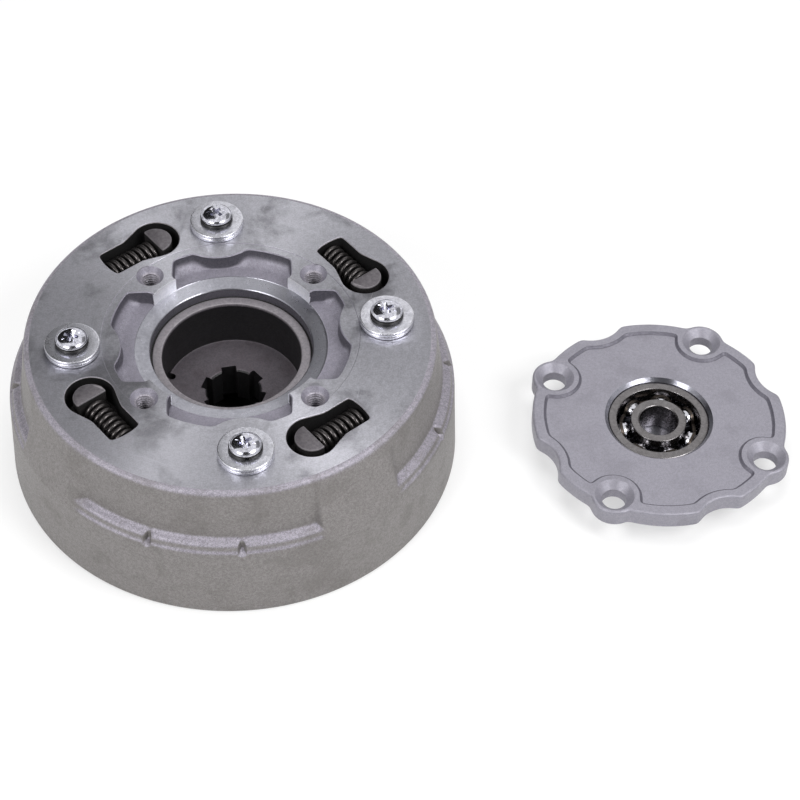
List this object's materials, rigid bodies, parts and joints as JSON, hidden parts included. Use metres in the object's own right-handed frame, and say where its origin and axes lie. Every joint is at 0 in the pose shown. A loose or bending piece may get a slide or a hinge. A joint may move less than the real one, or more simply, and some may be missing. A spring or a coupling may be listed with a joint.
{
  "type": "centrifugal clutch assembly",
  "caption": "Round cast clutch drum with spring-damped hub, splined bore and inner plates, beside its round scalloped cover with a ball bearing.",
  "frame": {"origin": "on the drum's axis, in the plane of its open rim, on which the drum and the cover's boss stand", "axes": "+Z along the drum's axis to its driven face, +X through the face screw on the cover's side"},
  "size_m": [0.2427, 0.1404, 0.0529],
  "materials": {
    "cast_alloy": "as cast wall, turned face",
    "cover_alloy": "as cast, matte",
    "hub_steel": "turned, oiled",
    "plate_steel": "ground",
    "post_steel": "turned, bright",
    "zinc_plated": "bright zinc",
    "spring_steel": "dark, oiled",
    "weight_iron": "sintered",
    "friction_facing": "bonded facing on a light core",
    "bush_bronze": "turned",
    "race_steel": "ground, satin",
    "ball_steel": "polished",
    "cage_steel": "pressed"
  },
  "bodies": {
    "drum": {"clutch_outer": "cast_alloy", "set_ring": "spring_steel", "back_plate": "plate_steel", "cover_plate": "cover_alloy", "bearing_outer_ring": "race_steel", "damper_spring_1": "spring_steel", "damper_spring_2": "spring_steel", "damper_spring_3": "spring_steel", "damper_spring_4": "spring_steel", "return_spring_1": "spring_steel", "return_spring_2": "spring_steel", "return_spring_3": "spring_steel", "return_spring_4": "spring_steel"},
    "drive": {"drive_hub": "hub_steel", "drive_plate": "plate_steel", "hub_rivets": "hub_steel", "screw_spacers": "plate_steel", "lower_washers": "zinc_plated", "upper_washers": "zinc_plated", "spring_washers": "spring_steel", "face_screws": "zinc_plated", "weight_pins": "plate_steel", "snap_ring": "spring_steel", "damper_post_1": "post_steel", "damper_post_2": "post_steel", "damper_post_3": "post_steel", "damper_post_4": "post_steel"},
    "pressure": {"pressure_plate": "plate_steel"},
    "steel_1": {"steel_plate_1": "plate_steel"},
    "steel_2": {"steel_plate_2": "plate_steel"},
    "output": {"clutch_centre": "cover_alloy", "centre_bush": "bush_bronze"},
    "disc_1": {"friction_disc_1": "friction_facing"},
    "disc_2": {"friction_disc_2": "friction_facing"},
    "disc_3": {"friction_disc_3": "friction_facing"},
    "bearing_inner": {"bearing_inner_ring": "race_steel"},
    "bearing_cage": {"bearing_cage": "cage_steel", "bearing_balls": "ball_steel"},
    "weight_arm_1": {"weight_1": "weight_iron"},
    "weight_arm_2": {"weight_2": "weight_iron"},
    "weight_arm_3": {"weight_3": "weight_iron"},
    "weight_arm_4": {"weight_4": "weight_iron"},
    "weight_arm_5": {"weight_5": "weight_iron"},
    "weight_arm_6": {"weight_6": "weight_iron"},
    "weight_arm_7": {"weight_7": "weight_iron"},
    "weight_arm_8": {"weight_8": "weight_iron"}
  },
  "joints": [
    {"name": "drive_twist", "type": "hinge", "parent": "drum", "child": "drive", "pos_m": [0, 0, 0], "axis": [0, 0, 1], "range_deg": [-1.5, 3], "stiffness_Nm_per_rad": 60, "deforming": ["damper_spring_1", "damper_spring_2", "damper_spring_3", "damper_spring_4"]},
    {"name": "weight_swing_1", "type": "hinge", "parent": "drive", "child": "weight_arm_1", "pos_m": [0.044, 0, 0.0272], "axis": [0, 1, 0], "range_deg": [0, 10]},
    {"name": "weight_swing_2", "type": "hinge", "parent": "drive", "child": "weight_arm_2", "pos_m": [0.03111, 0.03111, 0.0272], "axis": [-0.7071, 0.7071, 0], "range_deg": [0, 10]},
    {"name": "weight_swing_3", "type": "hinge", "parent": "drive", "child": "weight_arm_3", "pos_m": [0, 0.044, 0.0272], "axis": [-1, 0, 0], "range_deg": [0, 10]},
    {"name": "weight_swing_4", "type": "hinge", "parent": "drive", "child": "weight_arm_4", "pos_m": [-0.03111, 0.03111, 0.0272], "axis": [-0.7071, -0.7071, 0], "range_deg": [0, 10]},
    {"name": "weight_swing_5", "type": "hinge", "parent": "drive", "child": "weight_arm_5", "pos_m": [-0.044, 0, 0.0272], "axis": [0, -1, 0], "range_deg": [0, 10]},
    {"name": "weight_swing_6", "type": "hinge", "parent": "drive", "child": "weight_arm_6", "pos_m": [-0.03111, -0.03111, 0.0272], "axis": [0.7071, -0.7071, 0], "range_deg": [0, 10]},
    {"name": "weight_swing_7", "type": "hinge", "parent": "drive", "child": "weight_arm_7", "pos_m": [0, -0.044, 0.0272], "axis": [1, 0, 0], "range_deg": [0, 10]},
    {"name": "weight_swing_8", "type": "hinge", "parent": "drive", "child": "weight_arm_8", "pos_m": [0.03111, -0.03111, 0.0272], "axis": [0.7071, 0.7071, 0], "range_deg": [0, 10]},
    {"name": "output_spin", "type": "hinge", "parent": "drum", "child": "output", "pos_m": [0, 0, 0.0125], "axis": [0, 0, 1], "continuous": true},
    {"name": "pressure_slide", "type": "slide", "parent": "drum", "child": "pressure", "axis": [0, 0, 1], "range_m": [-0.001, 0], "stiffness_N_per_m": 3000, "springref_m": 0.004, "deforming": ["return_spring_1", "return_spring_2", "return_spring_3", "return_spring_4"]},
    {"name": "steel_plate_2_slide", "type": "slide", "parent": "drum", "child": "steel_2", "axis": [0, 0, 1], "range_m": [-0.0006667, 0]},
    {"name": "steel_plate_1_slide", "type": "slide", "parent": "drum", "child": "steel_1", "axis": [0, 0, 1], "range_m": [-0.0003333, 0]},
    {"name": "disc_3_slide", "type": "slide", "parent": "output", "child": "disc_3", "axis": [0, 0, 1], "range_m": [-0.0008333, 0]},
    {"name": "disc_2_slide", "type": "slide", "parent": "output", "child": "disc_2", "axis": [0, 0, 1], "range_m": [-0.0005, 0]},
    {"name": "disc_1_slide", "type": "slide", "parent": "output", "child": "disc_1", "axis": [0, 0, 1], "range_m": [-0.0001667, 0]},
    {"name": "bearing_inner_spin", "type": "hinge", "parent": "drum", "child": "bearing_inner", "pos_m": [0.13247, -0.02086, 0.0072], "axis": [0, 0, 1], "continuous": true},
    {"name": "bearing_cage_spin", "type": "hinge", "parent": "drum", "child": "bearing_cage", "pos_m": [0.13247, -0.02086, 0.0072], "axis": [0, 0, 1], "continuous": true}
  ],
  "couplings": [
    {"joint": "steel_plate_2_slide", "follows": "pressure_slide", "ratio": 0.6667},
    {"joint": "steel_plate_1_slide", "follows": "pressure_slide", "ratio": 0.3333},
    {"joint": "disc_3_slide", "follows": "pressure_slide", "ratio": 0.8333},
    {"joint": "disc_2_slide", "follows": "pressure_slide", "ratio": 0.5},
    {"joint": "disc_1_slide", "follows": "pressure_slide", "ratio": 0.1667},
    {"joint": "weight_swing_1", "follows": "pressure_slide", "rad_per_m": -174.53},
    {"joint": "weight_swing_2", "follows": "pressure_slide", "rad_per_m": -174.53},
    {"joint": "weight_swing_3", "follows": "pressure_slide", "rad_per_m": -174.53},
    {"joint": "weight_swing_4", "follows": "pressure_slide", "rad_per_m": -174.53},
    {"joint": "weight_swing_5", "follows": "pressure_slide", "rad_per_m": -174.53},
    {"joint": "weight_swing_6", "follows": "pressure_slide", "rad_per_m": -174.53},
    {"joint": "weight_swing_7", "follows": "pressure_slide", "rad_per_m": -174.53},
    {"joint": "weight_swing_8", "follows": "pressure_slide", "rad_per_m": -174.53},
    {"joint": "bearing_cage_spin", "follows": "bearing_inner_spin", "ratio": 0.365}
  ]
}
